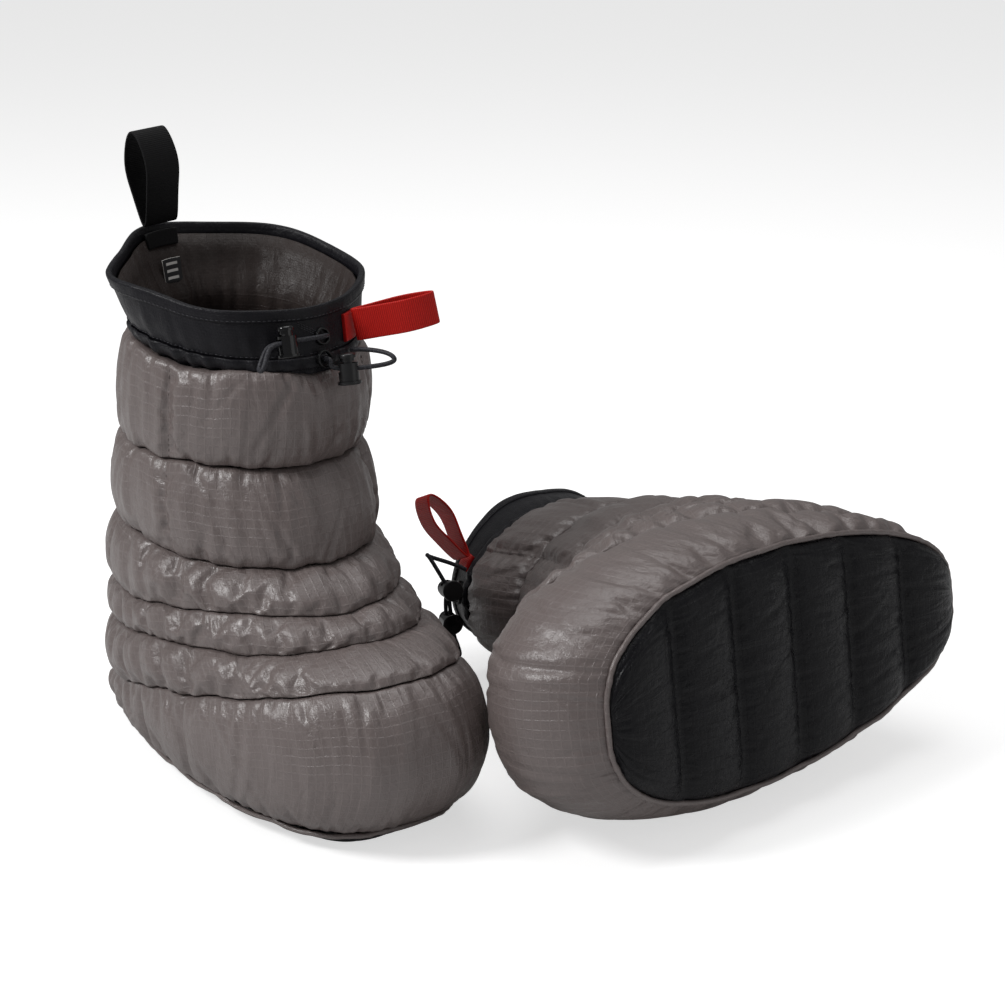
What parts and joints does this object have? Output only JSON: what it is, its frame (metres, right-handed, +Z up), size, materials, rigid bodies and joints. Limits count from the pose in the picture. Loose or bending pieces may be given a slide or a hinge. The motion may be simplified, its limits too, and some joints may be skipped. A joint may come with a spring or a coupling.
{
  "type": "down camp boots",
  "caption": "Down-filled mountaineering camp boots with quilted uppers and soles, drawcord collars, cord locks and webbing pull loops.",
  "frame": {"origin": "centre of the pair's box, on the floor that both boots rest on", "axes": "+X from heel to toe of the standing boot, +Y to its left, +Z up"},
  "size_m": [0.3982, 0.4237, 0.3578],
  "materials": {
    "shell_ripstop": "satin taupe ripstop nylon over down",
    "sole_ripstop": "black coated ripstop, quilted",
    "collar_nylon": "black plain-weave nylon",
    "lining_nylon": "taupe lining taffeta",
    "insole_foam": "closed-cell foam",
    "black_webbing": "ribbed nylon webbing",
    "red_webbing": "ribbed nylon webbing",
    "woven_label": "woven satin label",
    "shock_cord": "braided elastic cord",
    "lock_plastic": "moulded acetal",
    "spring_wire": "spring steel",
    "eyelet_metal": "black lacquered"
  },
  "bodies": {
    "upright_foot": {"upright_sole_quilt": "sole_ripstop", "upright_foam_insole": "insole_foam", "upright_toe_rand": "shell_ripstop", "upright_vamp_lower_baffle": "shell_ripstop", "upright_vamp_upper_baffle": "shell_ripstop", "upright_ankle_baffle": "shell_ripstop", "upright_lining_foot": "lining_nylon", "upright_lining_ankle": "lining_nylon"},
    "upright_shaft": {"upright_shaft_lower_baffle": "shell_ripstop", "upright_shaft_upper_baffle": "shell_ripstop", "upright_collar": "collar_nylon", "upright_lining_shaft": "lining_nylon", "upright_rim_hem": "collar_nylon", "upright_waist_tunnel": "collar_nylon", "upright_rear_loop_anchor": "black_webbing", "upright_front_loop_anchor": "red_webbing", "upright_size_tab": "woven_label", "upright_waist_eyelet": "eyelet_metal", "upright_rim_eyelet": "eyelet_metal", "upright_waist_cord": "shock_cord", "upright_rim_cord": "shock_cord"},
    "upright_rear_loop_strap": {"upright_rear_loop": "black_webbing"},
    "upright_front_loop_strap": {"upright_front_loop": "red_webbing"},
    "upright_waist_lock": {"upright_waist_lock_barrel": "lock_plastic", "upright_waist_lock_spring": "spring_wire"},
    "upright_waist_button": {"upright_waist_lock_plunger": "lock_plastic"},
    "upright_rim_lock": {"upright_rim_lock_barrel": "lock_plastic", "upright_rim_lock_spring": "spring_wire"},
    "upright_rim_button": {"upright_rim_lock_plunger": "lock_plastic"},
    "lying_foot": {"lying_sole_quilt": "sole_ripstop", "lying_foam_insole": "insole_foam", "lying_toe_rand": "shell_ripstop", "lying_vamp_lower_baffle": "shell_ripstop", "lying_vamp_upper_baffle": "shell_ripstop", "lying_ankle_baffle": "shell_ripstop", "lying_lining_foot": "lining_nylon", "lying_lining_ankle": "lining_nylon"},
    "lying_shaft": {"lying_shaft_lower_baffle": "shell_ripstop", "lying_shaft_upper_baffle": "shell_ripstop", "lying_collar": "collar_nylon", "lying_lining_shaft": "lining_nylon", "lying_rim_hem": "collar_nylon", "lying_waist_tunnel": "collar_nylon", "lying_rear_loop_anchor": "black_webbing", "lying_front_loop_anchor": "red_webbing", "lying_size_tab": "woven_label", "lying_waist_eyelet": "eyelet_metal", "lying_rim_eyelet": "eyelet_metal", "lying_waist_cord": "shock_cord", "lying_rim_cord": "shock_cord"},
    "lying_rear_loop_strap": {"lying_rear_loop": "black_webbing"},
    "lying_front_loop_strap": {"lying_front_loop": "red_webbing"},
    "lying_waist_lock": {"lying_waist_lock_barrel": "lock_plastic", "lying_waist_lock_spring": "spring_wire"},
    "lying_waist_button": {"lying_waist_lock_plunger": "lock_plastic"},
    "lying_rim_lock": {"lying_rim_lock_barrel": "lock_plastic", "lying_rim_lock_spring": "spring_wire"},
    "lying_rim_button": {"lying_rim_lock_plunger": "lock_plastic"}
  },
  "joints": [
    {"name": "pair_apart", "type": "slide", "parent": "upright_foot", "child": "lying_foot", "axis": [0.7071, 0.7071, 0], "range_m": [0, 0.12]},
    {"name": "upright_ankle_fold", "type": "hinge", "parent": "upright_foot", "child": "upright_shaft", "pos_m": [-0.0312, -0.13373, 0.131], "axis": [0, 1, 0], "range_deg": [-8, 10], "deforming": ["upright_ankle_baffle", "upright_lining_ankle"]},
    {"name": "upright_rear_loop_swing", "type": "hinge", "parent": "upright_shaft", "child": "upright_rear_loop_strap", "pos_m": [-0.13593, -0.14783, 0.30164], "axis": [0.228, -0.9728, -0.0408], "range_deg": [-40, 40]},
    {"name": "upright_front_loop_swing", "type": "hinge", "parent": "upright_shaft", "child": "upright_front_loop_strap", "pos_m": [-0.00854, -0.10108, 0.26211], "axis": [-0.1363, -0.1572, 0.9781], "range_deg": [-35, 25]},
    {"name": "upright_waist_lock_slide", "type": "slide", "parent": "upright_shaft", "child": "upright_waist_lock", "axis": [0.482, 0.8734, 0.0687], "range_m": [0, 0.008]},
    {"name": "upright_waist_button_press", "type": "slide", "parent": "upright_waist_lock", "child": "upright_waist_button", "axis": [0.1889, -0.027, -0.9816], "range_m": [0, 0.0025], "stiffness_N_per_m": 400, "springref_m": -0.002, "deforming": ["upright_waist_lock_spring"]},
    {"name": "upright_rim_lock_slide", "type": "slide", "parent": "upright_shaft", "child": "upright_rim_lock", "axis": [0.0169, 0.9997, -0.0197], "range_m": [0, 0.006]},
    {"name": "upright_rim_button_press", "type": "slide", "parent": "upright_rim_lock", "child": "upright_rim_button", "axis": [0.2423, -0.0233, -0.9699], "range_m": [0, 0.0025], "stiffness_N_per_m": 400, "springref_m": -0.002, "deforming": ["upright_rim_lock_spring"]},
    {"name": "lying_ankle_fold", "type": "hinge", "parent": "lying_foot", "child": "lying_shaft", "pos_m": [0.0521, 0.03757, 0.07085], "axis": [-0.1383, -0.016, 0.9903], "range_deg": [-8, 10], "deforming": ["lying_ankle_baffle", "lying_lining_ankle"]},
    {"name": "lying_rear_loop_swing", "type": "hinge", "parent": "lying_shaft", "child": "lying_rear_loop_strap", "pos_m": [-0.13307, 0.16638, 0.04352], "axis": [0.2306, -0.3592, -0.9043], "range_deg": [-40, 40]},
    {"name": "lying_front_loop_swing", "type": "hinge", "parent": "lying_shaft", "child": "lying_front_loop_strap", "pos_m": [-0.08118, 0.02268, 0.0798], "axis": [-0.9045, 0.0819, -0.4185], "range_deg": [-35, 25]},
    {"name": "lying_waist_lock_slide", "type": "slide", "parent": "lying_shaft", "child": "lying_waist_lock", "axis": [-0.2736, -0.3915, 0.8785], "range_m": [0, 0.008]},
    {"name": "lying_waist_button_press", "type": "slide", "parent": "lying_waist_lock", "child": "lying_waist_button", "axis": [0.9519, -0.2413, 0.1889], "range_m": [0, 0.0025], "stiffness_N_per_m": 400, "springref_m": -0.002, "deforming": ["lying_waist_lock_spring"]},
    {"name": "lying_rim_lock_slide", "type": "slide", "parent": "lying_shaft", "child": "lying_rim_lock", "axis": [-0.0821, -0.0794, 0.9935], "range_m": [0, 0.006]},
    {"name": "lying_rim_button_press", "type": "slide", "parent": "lying_rim_lock", "child": "lying_rim_button", "axis": [0.9533, -0.2969, 0.055], "range_m": [0, 0.0025], "stiffness_N_per_m": 400, "springref_m": -0.002, "deforming": ["lying_rim_lock_spring"]}
  ]
}
